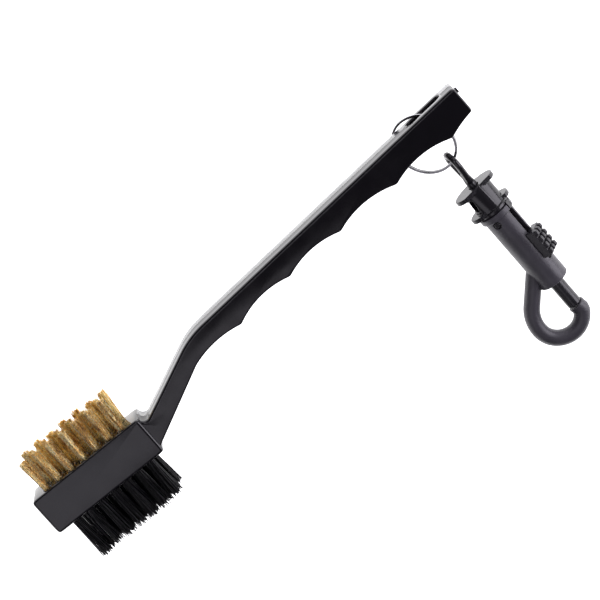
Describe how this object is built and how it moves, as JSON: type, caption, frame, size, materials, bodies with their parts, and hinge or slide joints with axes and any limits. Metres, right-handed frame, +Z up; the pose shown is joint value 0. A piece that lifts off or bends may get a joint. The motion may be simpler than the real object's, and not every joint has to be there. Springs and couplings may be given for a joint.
{
  "type": "club groove brush",
  "caption": "Hand brush with brass tufts on one side and nylon tufts on the other, a scalloped bent handle, and a snap hook on a split ring.",
  "frame": {"origin": "bottom centre of the bounding box of the brush as it lies on its side with the snap hook laid out beside it", "axes": "+X along the grip from the bristle block towards the butt end, +Y towards the spine and the brass tufts, +Z up from the surface the brush lies on"},
  "size_m": [0.18, 0.0944, 0.0161],
  "materials": {
    "handle_plastic": "glossy moulded black",
    "snap_plastic": "satin moulded black",
    "nylon": "black filament",
    "brass_wire": "bright drawn wire",
    "ring_steel": "bright plated",
    "spring_steel": "drawn wire"
  },
  "bodies": {
    "brush": {"handle": "handle_plastic", "brass_tuft_1_1": "brass_wire", "brass_tuft_1_2": "brass_wire", "brass_tuft_1_3": "brass_wire", "brass_tuft_1_4": "brass_wire", "brass_tuft_1_5": "brass_wire", "brass_tuft_1_6": "brass_wire", "brass_tuft_1_7": "brass_wire", "brass_tuft_2_1": "brass_wire", "brass_tuft_2_2": "brass_wire", "brass_tuft_2_3": "brass_wire", "brass_tuft_2_4": "brass_wire", "brass_tuft_2_5": "brass_wire", "brass_tuft_2_6": "brass_wire", "brass_tuft_3_1": "brass_wire", "brass_tuft_3_2": "brass_wire", "brass_tuft_3_3": "brass_wire", "brass_tuft_3_4": "brass_wire", "brass_tuft_3_5": "brass_wire", "brass_tuft_3_6": "brass_wire", "brass_tuft_3_7": "brass_wire", "nylon_tuft_1_1": "nylon", "nylon_tuft_1_2": "nylon", "nylon_tuft_1_3": "nylon", "nylon_tuft_1_4": "nylon", "nylon_tuft_1_5": "nylon", "nylon_tuft_1_6": "nylon", "nylon_tuft_1_7": "nylon", "nylon_tuft_2_1": "nylon", "nylon_tuft_2_2": "nylon", "nylon_tuft_2_3": "nylon", "nylon_tuft_2_4": "nylon", "nylon_tuft_2_5": "nylon", "nylon_tuft_2_6": "nylon", "nylon_tuft_3_1": "nylon", "nylon_tuft_3_2": "nylon", "nylon_tuft_3_3": "nylon", "nylon_tuft_3_4": "nylon", "nylon_tuft_3_5": "nylon", "nylon_tuft_3_6": "nylon", "nylon_tuft_3_7": "nylon"},
    "ring": {"split_ring": "ring_steel"},
    "eye": {"swivel_eye": "snap_plastic"},
    "snap": {"swivel_cap": "snap_plastic", "snap_body": "snap_plastic", "bolt_spring": "spring_steel"},
    "bolt": {"bolt_plunger": "snap_plastic"}
  },
  "joints": [
    {"name": "ring_turn", "type": "hinge", "parent": "brush", "child": "ring", "pos_m": [0.07159, 0.03147, 0.00617], "axis": [-0.5489, 0, 0.8359], "range_deg": [-25, 30]},
    {"name": "eye_tilt", "type": "hinge", "parent": "ring", "child": "eye", "pos_m": [0.07428, 0.02211, 0.00794], "axis": [0.7904, 0.3256, 0.519], "range_deg": [-30, 30]},
    {"name": "snap_swivel", "type": "hinge", "parent": "eye", "child": "snap", "pos_m": [0.07356, 0.01026, 0.00713], "axis": [-0.0492, -0.9972, -0.0569], "continuous": true},
    {"name": "bolt_slide", "type": "slide", "parent": "snap", "child": "bolt", "axis": [0.0492, 0.9972, 0.0569], "range_m": [0, 0.008], "stiffness_N_per_m": 250, "springref_m": -0.008, "deforming": ["bolt_spring"]}
  ]
}
